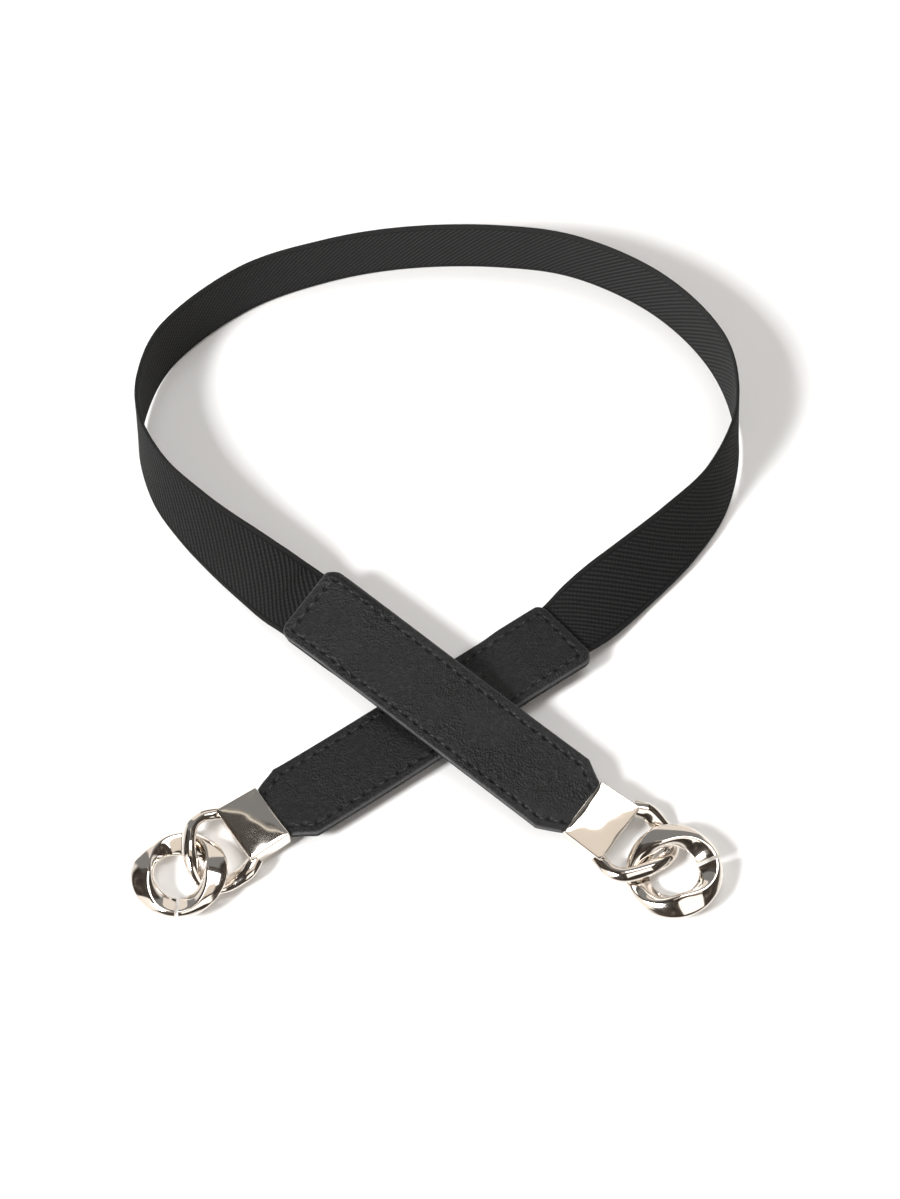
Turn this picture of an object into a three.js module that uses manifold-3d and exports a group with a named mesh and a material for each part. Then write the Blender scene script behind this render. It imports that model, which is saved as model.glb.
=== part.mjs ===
// Elastic waist belt lying in a loop on a table, its two leather tabs crossed in front.
// Millimetres, +Z up. The origin is on the table under the middle of the belt, +Y points to the back of
// the loop, and the two metal ends lie at the front, at -Y.
//
// The woven elastic stands on its lower edge round the back. Towards the front it leans inwards until it
// lies nearly flat, and each end is sewn between the two leather layers of a tab. The tab whose metal end
// lies on the right passes over the other one. Each tab's end sits in a metal cap, cast in one piece with
// half a curb link, and a twisted curb ring hangs in that half link. The ring has two halves: one runs
// through the half link, and the other is a gate on a hinge pin, which swings open.

import * as THREE from 'three';
import { mergeVertices } from 'three/addons/utils/BufferGeometryUtils.js';
import Module from 'manifold-3d';

const wasm = await Module();
wasm.setup();

// Driving dimensions of the band
const ELASTIC = { width: 20.1, thick: 1, tuck: 14 };
const TAB = { width: 23.5, length: 96.4, layer: 1, seam: 0.3, corner: 3.2 };
const TAB_END = { chamfer: 6.5, shoulder: 8.4, tongue: 7.2 };
const CLEAR = 0.3;

// Where the band lies: its elastic's lower edge on the table, from the right cap round the back to the left
// cap. Lift is that edge's height, and lean is the angle from upright, inwards, in degrees.
const STATIONS = [
  { x: 37.4, y: -87.7, lift: 3.2, lean: 82 },
  { x: 31.2, y: -82.7, lift: 3.8, lean: 83 },
  { x: 12.0, y: -67.8, lift: 6.6, lean: 86 },
  { x: -5.3, y: -54.1, lift: 8.2, lean: 86 },
  { x: -24.2, y: -38.0, lift: 7.6, lean: 84 },
  { x: -42.4, y: -22.0, lift: 4.8, lean: 77 },
  { x: -48.3, y: -17.0, lift: 3.4, lean: 66 },
  { x: -54.5, y: -10.4, lift: 1.8, lean: 52 },
  { x: -63.5, y: -0.6, lift: 0.5, lean: 39 },
  { x: -72.6, y: 10.0, lift: 0.8, lean: 28 },
  { x: -80.3, y: 21.9, lift: 1.2, lean: 17 },
  { x: -84.9, y: 37.6, lift: 1.4, lean: 5 },
  { x: -84.5, y: 50.2, lift: 1.0, lean: -1 },
  { x: -77.8, y: 67.8, lift: 0.4, lean: -5 },
  { x: -56.6, y: 87.9, lift: 0, lean: -5 },
  { x: -33.8, y: 98.0, lift: 0, lean: -2 },
  { x: -10.8, y: 103.0, lift: 0, lean: -1 },
  { x: 18.1, y: 103.6, lift: 0, lean: -1 },
  { x: 40.4, y: 99.7, lift: 0, lean: -1 },
  { x: 64.2, y: 85.8, lift: 0, lean: -3 },
  { x: 79.8, y: 65.4, lift: 0.6, lean: -4 },
  { x: 85.4, y: 42.2, lift: 1.4, lean: 5 },
  { x: 81.3, y: 19.4, lift: 1.5, lean: 22 },
  { x: 71.6, y: 3.4, lift: 1.1, lean: 39 },
  { x: 57.6, y: -12.0, lift: 0.9, lean: 57 },
  { x: 47.4, y: -22.5, lift: 2.8, lean: 82 },
  { x: 40.3, y: -28.3, lift: 5.1, lean: 100 },
  { x: 21.0, y: -41.5, lift: 4.9, lean: 100 },
  { x: -6.1, y: -60.6, lift: 4.4, lean: 98 },
  { x: -32.9, y: -78.9, lift: 4.5, lean: 97 },
  { x: -38.7, y: -82.3, lift: 4.4, lean: 96 },
  { x: -45.3, y: -86.9, lift: 4.3, lean: 96 },
];

// Where each tab begins and ends along the band, and how far its lower edge stands below the elastic's.
// The cap's rear face is at the row capRow, and the tab's other end lies one tab's length from it. Each cap
// is turned a little in plan from its tab's own line, in degrees.
const TABS = {
  right: { capRow: 1, towardsCap: -1, below: 0.5, capTurn: 1.9 },
  left: { capRow: STATIONS.length - 2, towardsCap: 1, below: 2.9, capTurn: 1.6 },
};

// Driving dimensions of the metal ends
const CAP = { length: 12.4, rearWidth: 17.2, frontWidth: 18, thick: 4.7, crown: 0.35, slotDepth: 8 };
const LINK = { thick: 2.6, ridge: 0.5, roundness: 0.6 };
const RING = { radius: 9.7, width: 6.5, thick: 4.2, lift: 1.2, ridge: 2.0, roundness: 0.3 };
const CUT = { gapAngle: 53, gap: 1.0, seam: 0.4 };

// The hinge pin stands near the ring bar's outer side, a little behind the seam, in a slot of the body half.
const HINGE = { pin: 0.55, offset: 1.5, behind: 1.3, eye: 1.35, tongue: 0.9, middle: 0.45 };

// The half link in front of the cap: how far forward of the cap's front face its middle line lies, how far to
// the side, how high over the cap's middle plane, and how wide the bar is there. The ring lies over its low
// side and under its high side.
const LINK_PATH = [
  { forward: -1.6, side: -8.2, height: 0, width: 4 },
  { forward: 0.6, side: -9.0, height: 0.9, width: 4 },
  { forward: 3.8, side: -9.7, height: 1.9, width: 4 },
  { forward: 7.0, side: -8.8, height: 2.7, width: 4 },
  { forward: 9.6, side: -6.2, height: 2.9, width: 4 },
  { forward: 12.0, side: -2.3, height: 2.5, width: 4 },
  { forward: 13.2, side: 1.5, height: 0.9, width: 4 },
  { forward: 13.0, side: 5.2, height: -1.4, width: 4.2 },
  { forward: 11.0, side: 7.6, height: -2.95, width: 4.6 },
  { forward: 8.1, side: 8.8, height: -3.0, width: 5 },
  { forward: 5.0, side: 9.5, height: -1.9, width: 5.2 },
  { forward: 1.8, side: 9.8, height: -0.8, width: 5 },
  { forward: -1.6, side: 8.4, height: -0.3, width: 4.4 },
];

// Where each ring lies: its middle, the turn of its own +X away from the tab, its roll about that line and
// its pitch up at the far side, in degrees.
const RING_POSE = {
  right: { x: 61.9, y: -91.5, z: 4.36, turn: -36.5, roll: 8.5, pitch: 2 },
  left: { x: -67.5, y: -92.0, z: 4.31, turn: 216.5, roll: 8, pitch: 2 },
};

const BLACK_LEATHER = { color: '#242426', roughness: 0.55, metalness: 0 };
const BLACK_ELASTIC = { color: '#1b1c1e', roughness: 0.85, metalness: 0 };
const POLISHED_METAL = { color: '#cfc9c0', roughness: 0.12, metalness: 1 };

const radians = THREE.MathUtils.degToRad;
const up = new THREE.Vector3(0, 0, 1);

function signedVolume(geometry) {
  const position = geometry.getAttribute('position');
  const corners = [new THREE.Vector3(), new THREE.Vector3(), new THREE.Vector3()];
  let sum = 0;
  for (let i = 0; i < geometry.index.count; i += 3) {
    corners.forEach((corner, k) => corner.fromBufferAttribute(position, geometry.index.getX(i + k)));
    sum += corners[0].dot(corners[1].cross(corners[2])) / 6;
  }
  return sum;
}

// A closed body made from a box of unit size. The box's vertices are moved by place(a, b, c), where a runs
// along the piece from 0 to 1, and b and c run across it from -1 to 1.
function shapedBox(along, across, through, place) {
  let box = new THREE.BoxGeometry(1, 1, 1, along, across, through);
  box.deleteAttribute('normal');
  box.deleteAttribute('uv');
  box = mergeVertices(box);
  const position = box.getAttribute('position');
  for (let i = 0; i < position.count; i += 1) {
    const point = place(position.getX(i) + 0.5, position.getY(i) * 2, position.getZ(i) * 2);
    position.setXYZ(i, point.x, point.y, point.z);
  }
  if (signedVolume(box) < 0) box.index.array.reverse();
  box.computeVertexNormals();
  return box;
}

// The band's own line: two smooth curves through the stations, one for the place and one for the lean.
const placeCurve = new THREE.CatmullRomCurve3(
  STATIONS.map((s) => new THREE.Vector3(s.x, s.y, s.lift)), false, 'centripetal');
const leanCurve = new THREE.CatmullRomCurve3(
  STATIONS.map((s, i) => new THREE.Vector3(s.lean, i, 0)), false, 'centripetal');

// Arc lengths along the band, so that a distance can be turned into a place on both curves.
const STEPS_PER_ROW = 24;
const rowCount = STATIONS.length - 1;
const lengths = [0];
for (let i = 1; i <= rowCount * STEPS_PER_ROW; i += 1) {
  const here = placeCurve.getPoint(i / (rowCount * STEPS_PER_ROW));
  const before = placeCurve.getPoint((i - 1) / (rowCount * STEPS_PER_ROW));
  lengths.push(lengths[i - 1] + here.distanceTo(before));
}
const rowDistance = (row) => lengths[row * STEPS_PER_ROW];

function parameterAt(distance) {
  const last = lengths.length - 1;
  let i = 1;
  while (i < last && lengths[i] < distance) i += 1;
  const share = (distance - lengths[i - 1]) / (lengths[i] - lengths[i - 1]);
  return THREE.MathUtils.clamp((i - 1 + share) / last, 0, 1);
}

// The band's frame at a distance along it: the edge point, the direction along, the direction across from
// the lower to the upper edge, and the outer face's normal.
function bandFrame(distance) {
  const t = parameterAt(distance);
  const edge = placeCurve.getPoint(t);
  const along = placeCurve.getTangent(t);
  const lean = radians(leanCurve.getPoint(t).x);
  const inward = new THREE.Vector3(along.y, -along.x, 0).normalize();
  const across = inward.multiplyScalar(Math.sin(lean)).addScaledVector(up, Math.cos(lean));
  across.addScaledVector(along, -across.dot(along)).normalize();
  const outward = new THREE.Vector3().crossVectors(across, along);
  edge.z += (ELASTIC.thick / 2) * Math.abs(Math.sin(lean));
  return { edge, along, across, outward };
}

function bandPoint(distance, height, depth) {
  const frame = bandFrame(distance);
  return frame.edge.addScaledVector(frame.across, height).addScaledVector(frame.outward, depth);
}

// Distances along the band where each tab meets its cap and where it ends on the elastic.
function tabSpan(tab) {
  const cap = rowDistance(tab.capRow);
  return { cap, end: cap - tab.towardsCap * TAB.length };
}

function elasticBand() {
  const start = tabSpan(TABS.right).end - ELASTIC.tuck;
  const stop = tabSpan(TABS.left).end + ELASTIC.tuck;
  return shapedBox(116, 3, 1, (a, b, c) => bandPoint(
    THREE.MathUtils.lerp(start, stop, a), ((b + 1) / 2) * ELASTIC.width, (c * ELASTIC.thick) / 2));
}

// Half the tab's width at a distance from the cap's rear face: the tongue in the cap, the chamfer up from
// its shoulder, the straight part, and the rounded corners at the elastic's end.
const slotHalfWidth = CAP.rearWidth / 2 - 0.9;
function tabHalfWidth(fromCap) {
  const { chamfer, shoulder } = TAB_END;
  if (fromCap <= CLEAR) return slotHalfWidth - CLEAR;
  if (fromCap < chamfer) return THREE.MathUtils.lerp(shoulder, TAB.width / 2, fromCap / chamfer);
  const fromEnd = TAB.length - fromCap;
  if (fromEnd >= TAB.corner) return TAB.width / 2;
  const short = TAB.corner - fromEnd;
  return TAB.width / 2 - (TAB.corner - Math.sqrt(TAB.corner ** 2 - short ** 2));
}

// Half the space between a tab's two layers: it opens where the elastic is tucked in between them, and closes
// again beyond the elastic's edge, towards the tab's side.
function layerSpace(fromCap, beyondElastic) {
  const pocket = ELASTIC.thick / 2 + CLEAR + 0.1;
  const fromPocket = TAB.length - ELASTIC.tuck - 1 - fromCap;
  const atSide = THREE.MathUtils.clamp((beyondElastic - CLEAR) / 2, 0, 1);
  const closed = Math.max(THREE.MathUtils.smoothstep(fromPocket, 0, 7), atSide);
  return THREE.MathUtils.lerp(pocket, TAB.seam / 2, closed);
}

// Where the rows of a tab's mesh lie, from the tongue's end to the end on the elastic.
function tabRows() {
  const rows = [-TAB_END.tongue, -3, CLEAR, CLEAR + 0.05, TAB_END.chamfer / 2];
  const straight = 22;
  for (let i = 0; i <= straight; i += 1) {
    rows.push(THREE.MathUtils.lerp(TAB_END.chamfer, TAB.length - TAB.corner, i / straight));
  }
  for (const share of [0.45, 0.75, 0.93, 1]) rows.push(TAB.length - TAB.corner * (1 - share));
  return rows;
}

// One leather layer: side is 1 for the face that shows in front and -1 for the lining side. A crease runs along
// it just beyond the elastic's edge. By the cap the layer turns from the band's own line to the cap's.
function tabLayer(tab, side) {
  const rows = tabRows();
  const middle = TAB.width / 2 - tab.below;
  const cap = tabSpan(tab).cap;
  const matrix = capMatrix(tab);
  const creaseAbove = Math.min(ELASTIC.width + CLEAR - middle, 0.4 * TAB.width);
  const creaseBelow = Math.max(-CLEAR - middle, -0.4 * TAB.width);
  return shapedBox(rows.length - 1, 4, 1, (a, b, c) => {
    const share = tab.towardsCap < 0 ? a : 1 - a;
    const fromCap = rows[Math.round(share * (rows.length - 1))];
    const half = tabHalfWidth(fromCap);
    const columns = [-half, Math.max(creaseBelow, 0.4 - half), 0, Math.min(creaseAbove, half - 0.4), half];
    const offset = columns[Math.round(2 * b + 2)];
    const height = middle + offset;
    const inner = layerSpace(fromCap, Math.max(-height, height - ELASTIC.width));
    const depth = side * (inner + (side * c > 0 ? TAB.layer : 0));
    const free = bandPoint(cap - tab.towardsCap * fromCap, height, depth);
    const held = new THREE.Vector3(-fromCap, -tab.towardsCap * offset, depth).applyMatrix4(matrix);
    return held.lerp(free, THREE.MathUtils.smoothstep(fromCap, 0.5, 8));
  });
}

// The frame at a metal end: x away from the tab, z out of the top face, origin at the middle of the cap's
// rear face.
function capMatrix(tab) {
  const distance = tabSpan(tab).cap;
  const frame = bandFrame(distance);
  const x = frame.along.clone().multiplyScalar(tab.towardsCap);
  const z = frame.outward;
  const y = new THREE.Vector3().crossVectors(z, x);
  const matrix = new THREE.Matrix4().makeBasis(x, y, z);
  matrix.setPosition(bandPoint(distance, TAB.width / 2 - tab.below, 0));
  return matrix.multiply(new THREE.Matrix4().makeRotationZ(radians(tab.capTurn)));
}

function toSolid(geometry) {
  const bare = geometry.clone();
  bare.deleteAttribute('normal');
  bare.deleteAttribute('uv');
  const merged = mergeVertices(bare);
  const mesh = new wasm.Mesh({
    numProp: 3,
    vertProperties: new Float32Array(merged.getAttribute('position').array),
    triVerts: new Uint32Array(merged.index.array),
  });
  return new wasm.Manifold(mesh);
}

function toGeometry(solid) {
  const mesh = solid.getMesh();
  const geometry = new THREE.BufferGeometry();
  geometry.setAttribute('position', new THREE.BufferAttribute(mesh.vertProperties, 3));
  geometry.setIndex(new THREE.BufferAttribute(mesh.triVerts, 1));
  geometry.computeVertexNormals();
  return geometry;
}

function block(x0, x1, y0, y1, z0, z1) {
  const box = new THREE.BoxGeometry(x1 - x0, y1 - y0, z1 - z0);
  box.translate((x0 + x1) / 2, (y0 + y1) / 2, (z0 + z1) / 2);
  return toSolid(box);
}

// A bar's section, a four-sided shape with one ridge on top and one below, each moved sideways by ridge.
// Its corners are the unit box's corners, and roundness bulges its faces towards an ellipse.
function ridgedSection(b, c, halfWidth, halfThick, ridge, roundness) {
  const rise = (b + c) / 2;
  const side = (b - c) / 2;
  const round = Math.hypot(rise, side);
  const edge = Math.max(Math.abs(b), Math.abs(c));
  const scale = round > 0 ? THREE.MathUtils.lerp(1, edge / round, roundness) : 1;
  return new THREE.Vector2(rise * ridge + side * halfWidth, rise * halfThick).multiplyScalar(scale);
}

// The half link in front of the cap, with its roots sunk in the cap's corners.
function halfLink() {
  const line = new THREE.CatmullRomCurve3(
    LINK_PATH.map((row) => new THREE.Vector3(CAP.length + row.forward, row.side, row.height)));
  const widths = new THREE.CatmullRomCurve3(LINK_PATH.map((row, i) => new THREE.Vector3(row.width, i, 0)));
  return shapedBox(28, 3, 3, (a, b, c) => {
    const along = line.getTangentAt(a);
    const out = new THREE.Vector3(along.y, -along.x, 0).normalize();
    const width = widths.getPoint(line.getUtoTmapping(a)).x;
    const ridge = LINK.ridge * Math.sin((2 * a - 1) * Math.PI);
    const section = ridgedSection(b, c, width / 2, LINK.thick / 2, ridge, LINK.roundness);
    return line.getPointAt(a).addScaledVector(out, section.x).addScaledVector(up, section.y);
  });
}

function endCap(tab) {
  const shell = shapedBox(4, 6, 2, (a, b, c) => {
    const halfWidth = THREE.MathUtils.lerp(CAP.rearWidth, CAP.frontWidth, a) / 2;
    const crown = CAP.crown * (1 - b * b) * (1 - (2 * a - 1) ** 2);
    return new THREE.Vector3(a * CAP.length, b * halfWidth, c * (CAP.thick / 2 + crown));
  });
  const slotHalfThick = TAB.layer + TAB.seam / 2 + CLEAR;
  const slot = block(-1, CAP.slotDepth, -slotHalfWidth, slotHalfWidth, -slotHalfThick, slotHalfThick);
  const solid = toSolid(shell).add(toSolid(halfLink())).subtract(slot);
  return toGeometry(solid).applyMatrix4(capMatrix(tab));
}

// A point of the ring's bar at an angle round the ring. The bar rises and falls twice in a turn, and its
// top ridge moves from the inner side, where it is high, to the outer side, where it is low.
function ringPoint(angle, b, c) {
  const wave = Math.cos(2 * (angle - radians(CUT.gapAngle)));
  const section = ridgedSection(b, c, RING.width / 2, RING.thick / 2, RING.ridge * wave, RING.roundness);
  const radius = RING.radius + section.x;
  return new THREE.Vector3(radius * Math.cos(angle), radius * Math.sin(angle), section.y - RING.lift * wave);
}

// One half of the ring. Its ends are flat cuts, so its end rows are shifted to lie on planes beside the
// line through the gap and the hinge.
function ringHalf(start, stop, gapAtStart, gapAtStop) {
  return shapedBox(18, 3, 3, (a, b, c) => {
    const angle = THREE.MathUtils.lerp(start, stop, a);
    const point = ringPoint(angle, b, c);
    const tangent = new THREE.Vector3(-Math.sin(angle), Math.cos(angle), 0);
    if (a === 0) point.addScaledVector(tangent, gapAtStart / 2);
    if (a === 1) point.addScaledVector(tangent, -gapAtStop / 2);
    return point;
  });
}

function ringMatrix(side) {
  const pose = RING_POSE[side];
  const matrix = new THREE.Matrix4().makeTranslation(pose.x, pose.y, pose.z);
  matrix.multiply(new THREE.Matrix4().makeRotationZ(radians(pose.turn)));
  matrix.multiply(new THREE.Matrix4().makeRotationY(radians(-pose.pitch)));
  return matrix.multiply(new THREE.Matrix4().makeRotationX(radians(pose.roll)));
}

// The hinge's own frame within the ring's: origin on the pin's axis at the tongue's middle height, +X across
// the seam towards the gate, +Y towards the inner side of the ring.
const gapAngle = radians(CUT.gapAngle);
const hingeAngle = gapAngle + Math.PI;
const hingeMatrix = new THREE.Matrix4().makeRotationZ(hingeAngle + Math.PI / 2);
hingeMatrix.setPosition(new THREE.Vector3(RING.radius + HINGE.offset, -HINGE.behind, HINGE.middle - RING.lift)
  .applyMatrix4(new THREE.Matrix4().makeRotationZ(hingeAngle)));

function hingeBlock(x0, x1, y0, y1, halfHeight) {
  const geometry = new THREE.BoxGeometry(x1 - x0, y1 - y0, 2 * halfHeight);
  geometry.translate((x0 + x1) / 2, (y0 + y1) / 2, 0);
  return toSolid(geometry.applyMatrix4(hingeMatrix));
}

function hingeCylinder(radius, bottom, top, sides) {
  const cylinder = new THREE.CylinderGeometry(radius, radius, top - bottom, sides);
  cylinder.rotateX(Math.PI / 2);
  cylinder.translate(0, 0, (bottom + top) / 2);
  return cylinder.applyMatrix4(hingeMatrix);
}

// The body half ends in two cheeks, with a flat slot right across for the gate's tongue. The cheeks' outer
// corner is rounded about the pin, so that the gate's end passes it.
function ringBody(side) {
  const half = toSolid(ringHalf(gapAngle, hingeAngle, CUT.gap, CUT.seam));
  const far = RING.width;
  const slot = hingeBlock(-HINGE.eye - CLEAR, far, -far, far, HINGE.tongue / 2 + CLEAR);
  const corner = hingeBlock(0, far, -far, 0, far)
    .subtract(toSolid(hingeCylinder(HINGE.behind - CUT.seam / 2, -far, far, 24)));
  const hole = toSolid(hingeCylinder(HINGE.pin + CLEAR, -far, 1, 12));
  return toGeometry(half.subtract(slot).subtract(corner).subtract(hole)).applyMatrix4(ringMatrix(side));
}

// The gate half carries the tongue, whose rounded eye turns about the pin.
function ringGate(side) {
  const half = toSolid(ringHalf(hingeAngle - 2 * Math.PI, gapAngle, CUT.seam, CUT.gap));
  const stock = toSolid(ringHalf(hingeAngle - 0.4, hingeAngle + 0.3, 0, 0));
  const eye = toSolid(hingeCylinder(HINGE.eye, -HINGE.tongue / 2, HINGE.tongue / 2, 20));
  const neck = hingeBlock(0, HINGE.behind + 1, -HINGE.eye, HINGE.eye, HINGE.tongue / 2);
  const tongue = stock.intersect(eye.add(neck));
  const hole = toSolid(hingeCylinder(HINGE.pin + CLEAR, -HINGE.tongue, HINGE.tongue, 12));
  return toGeometry(half.add(tongue).subtract(hole)).applyMatrix4(ringMatrix(side));
}

function ringPin(side) {
  return hingeCylinder(HINGE.pin, -1.2, 0.7, 12).applyMatrix4(ringMatrix(side));
}

const belt = new THREE.Group();

function addPiece(name, geometry, finish) {
  const material = new THREE.MeshStandardMaterial(finish);
  const mesh = new THREE.Mesh(geometry, material);
  mesh.name = name;
  belt.add(mesh);
}

addPiece('elastic_band', elasticBand(), BLACK_ELASTIC);
for (const side of ['right', 'left']) {
  addPiece(`tab_front_${side}`, tabLayer(TABS[side], 1), BLACK_LEATHER);
  addPiece(`tab_back_${side}`, tabLayer(TABS[side], -1), BLACK_LEATHER);
  addPiece(`end_cap_${side}`, endCap(TABS[side]), POLISHED_METAL);
  addPiece(`ring_body_${side}`, ringBody(side), POLISHED_METAL);
  addPiece(`ring_gate_${side}`, ringGate(side), POLISHED_METAL);
  addPiece(`ring_pin_${side}`, ringPin(side), POLISHED_METAL);
}

export default belt;
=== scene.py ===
"""An elastic waist belt laid in a loop on a table, dressed over its CAD frame.

Its two leather tabs cross in front. Each ends in a polished metal cap, half a curb link and a hinged ring.
"""

import math

import bmesh
import bpy
import numpy as np
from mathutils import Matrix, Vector


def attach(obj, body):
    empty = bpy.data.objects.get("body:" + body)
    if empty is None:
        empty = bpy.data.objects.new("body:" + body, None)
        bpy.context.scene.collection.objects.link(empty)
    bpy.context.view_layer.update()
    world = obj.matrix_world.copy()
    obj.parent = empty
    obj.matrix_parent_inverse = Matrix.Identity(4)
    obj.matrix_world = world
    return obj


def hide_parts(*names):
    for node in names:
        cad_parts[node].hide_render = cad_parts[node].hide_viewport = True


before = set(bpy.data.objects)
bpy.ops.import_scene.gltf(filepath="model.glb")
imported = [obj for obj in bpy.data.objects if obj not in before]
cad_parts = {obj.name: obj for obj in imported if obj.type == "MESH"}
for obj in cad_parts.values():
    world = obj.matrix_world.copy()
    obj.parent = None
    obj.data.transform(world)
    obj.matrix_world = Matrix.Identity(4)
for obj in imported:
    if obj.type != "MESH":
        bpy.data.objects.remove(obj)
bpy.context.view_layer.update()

# The studio. The belt lies on a sheet of smooth white card. A soft lamp stands at the front left. The room is
# dark, with pale walls round the horizon and white and cream panels over the table, which the metal mirrors.

MM = 0.001


def linear(hex_colour):
    """The linear colour of an sRGB hex value, each channel by the sRGB curve.

    That is a power of 2.4 over a short straight foot.
    """
    channels = [int(hex_colour[i:i + 2], 16) / 255 for i in (1, 3, 5)]
    return tuple(c / 12.92 if c <= 0.04045 else ((c + 0.055) / 1.055) ** 2.4 for c in channels) + (1.0,)


def add_node(tree, kind, settings=None, **links):
    """Adds a node of that kind. Settings give its properties and sockets their values.

    Links give the outputs that feed it, each under its socket's name, or under _ and its socket's number.
    """
    node = tree.nodes.new(kind)
    for name, value in (settings or {}).items():
        if isinstance(name, str) and hasattr(node, name):
            setattr(node, name, value)
        else:
            node.inputs[name].default_value = value
    for name, source in links.items():
        socket = int(name[1:]) if name.startswith("_") else name
        tree.links.new(source, node.inputs[socket])
    return node


def new_material(name):
    """A node material whose shader is joined to its output: returns the material, its tree and its shader."""
    material = bpy.data.materials.new(name)
    material.use_nodes = True
    tree = material.node_tree
    return material, tree, tree.nodes["Principled BSDF"]


def set_ramp(ramp, stops):
    """Gives a colour ramp its stops, each a place from 0 to 1 and a colour."""
    elements = ramp.color_ramp.elements
    while len(elements) > 1:
        elements.remove(elements[-1])
    elements[0].position, elements[0].color = stops[0]
    for place, colour in stops[1:]:
        elements.new(place).color = colour


CARD = {"half": 3.0, "level": -0.4 * MM}
corners = [(x * CARD["half"], y * CARD["half"], CARD["level"])
           for x, y in ((-1, -1), (1, -1), (1, 1), (-1, 1))]
floor_mesh = bpy.data.meshes.new("white_card")
floor_mesh.from_pydata(corners, [], [(0, 1, 2, 3)])
floor = bpy.data.objects.new("white_card", floor_mesh)
bpy.context.collection.objects.link(floor)
card, tree, shader = new_material("smooth_white_card")
shader.inputs["Base Color"].default_value = linear("#f4f4f4")
shader.inputs["Roughness"].default_value = 0.6
shader.inputs["Specular IOR Level"].default_value = 0.3
floor_mesh.materials.append(card)

# The photograph's lens: 2700 of its pixels to the focal length, with 1199 pixels to its longer side. It looks
# down at the belt at 62 degrees from 750 mm away.
FOCAL_LENGTH, LONG_SIDE = 2700, 1199
LOOKS_DOWN, CAMERA_AWAY = math.radians(62), 750 * MM
lens = bpy.data.cameras.new("camera")
lens.sensor_width = 36
lens.lens = FOCAL_LENGTH / LONG_SIDE * lens.sensor_width
lens.clip_start = 0.01
camera = bpy.data.objects.new("camera", lens)
bpy.context.collection.objects.link(camera)
aim = Vector((3.3, -8.4, 0)) * MM
camera.location = aim + Vector((0, -math.cos(LOOKS_DOWN), math.sin(LOOKS_DOWN))) * CAMERA_AWAY
camera.rotation_euler = (aim - camera.location).to_track_quat("-Z", "Y").to_euler()
bpy.context.scene.camera = camera

# The lamp stands 34 degrees forward of the left, 41.5 degrees up and 1.7 m away.
LAMP_FORWARD, LAMP_UP, LAMP_AWAY = math.radians(34), math.radians(41.5), 1.7
towards_lamp = Vector((-math.cos(LAMP_FORWARD), -math.sin(LAMP_FORWARD), math.tan(LAMP_UP))).normalized()
softbox = bpy.data.lights.new("softbox", "AREA")
softbox.shape = "SQUARE"
softbox.size = 0.36
softbox.energy = 35
lamp = bpy.data.objects.new("softbox", softbox)
lamp.location = aim + towards_lamp * LAMP_AWAY
lamp.rotation_euler = (-towards_lamp).to_track_quat("-Z", "Y").to_euler()
bpy.context.collection.objects.link(lamp)

world = bpy.data.worlds.new("tent")
bpy.context.scene.world = world
world.use_nodes = True
tree = world.node_tree
direction = add_node(tree, "ShaderNodeTexCoord").outputs["Generated"]
split = add_node(tree, "ShaderNodeSeparateXYZ", Vector=direction)
clutter = add_node(tree, "ShaderNodeTexNoise", {"Scale": 5.0, "Detail": 3.0}, Vector=direction)
room = add_node(tree, "ShaderNodeValToRGB", Fac=clutter.outputs[0])
set_ramp(room, [(0.35, linear("#332e2b")), (0.6, linear("#4c4640")), (0.75, linear("#7a7169"))])
low = add_node(tree, "ShaderNodeMapRange", {"From Min": 0.32, "From Max": 0.2}, Value=split.outputs["Z"])
walls = add_node(tree, "ShaderNodeMix", {"data_type": "RGBA", 7: linear("#f6f2ee")},
                 _0=low.outputs[0], _6=room.outputs["Color"])
colour = walls.outputs[2]
# Each panel as seen from the belt, flattened on the plan: middle, half its sizes, turn, colour and strength.
PANELS = [
    (-0.10, 0.73, 0.60, 0.15, 0, "#868686", 1.0),
    (-0.10, 0.49, 0.60, 0.075, 0, "#55524f", 1.0),
    (-0.20, 0.566, 0.25, 0.032, -12, "#918f8a", 1.0),
    (-0.20, 0.555, 0.25, 0.012, -12, "#f2eadc", 1.0),
    (0.16, 0.255, 0.36, 0.175, 0, "#ffffff", 4.8),
    (0.05, -0.04, 0.45, 0.13, 8, "#f1e6da", 0.97),
    (0.27, -0.47, 0.36, 0.17, 25, "#fffaf2", 1.5),
    (-0.80, -0.36, 0.13, 0.24, 0, "#f8f2ea", 1.2),
    (-0.05, 0.93, 0.50, 0.06, 0, "#f4ece3", 1.0)]
for x, y, half_x, half_y, turn, shade, strength in PANELS:
    placing = {"vector_type": "TEXTURE", "Location": (x, y, 0), "Rotation": (0, 0, math.radians(turn)),
               "Scale": (half_x, half_y, 1)}
    flat = add_node(tree, "ShaderNodeMapping", placing, Vector=direction)
    size = add_node(tree, "ShaderNodeVectorMath", {"operation": "ABSOLUTE"}, _0=flat.outputs[0])
    part = add_node(tree, "ShaderNodeSeparateXYZ", Vector=size.outputs[0])
    edge = add_node(tree, "ShaderNodeMath", {"operation": "MAXIMUM"},
                    _0=part.outputs["X"], _1=part.outputs["Y"])
    inside = add_node(tree, "ShaderNodeMapRange", {"From Min": 1.04, "From Max": 0.96}, Value=edge.outputs[0])
    bright = tuple(strength * c for c in linear(shade)[:3]) + (1.0,)
    panel = add_node(tree, "ShaderNodeMix", {"data_type": "RGBA", 7: bright}, _0=inside.outputs[0], _6=colour)
    colour = panel.outputs[2]
tree.links.new(colour, tree.nodes["Background"].inputs["Color"])
tree.nodes["Background"].inputs["Strength"].default_value = 1.0
bpy.context.scene.view_settings.view_transform = "Standard"


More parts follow.
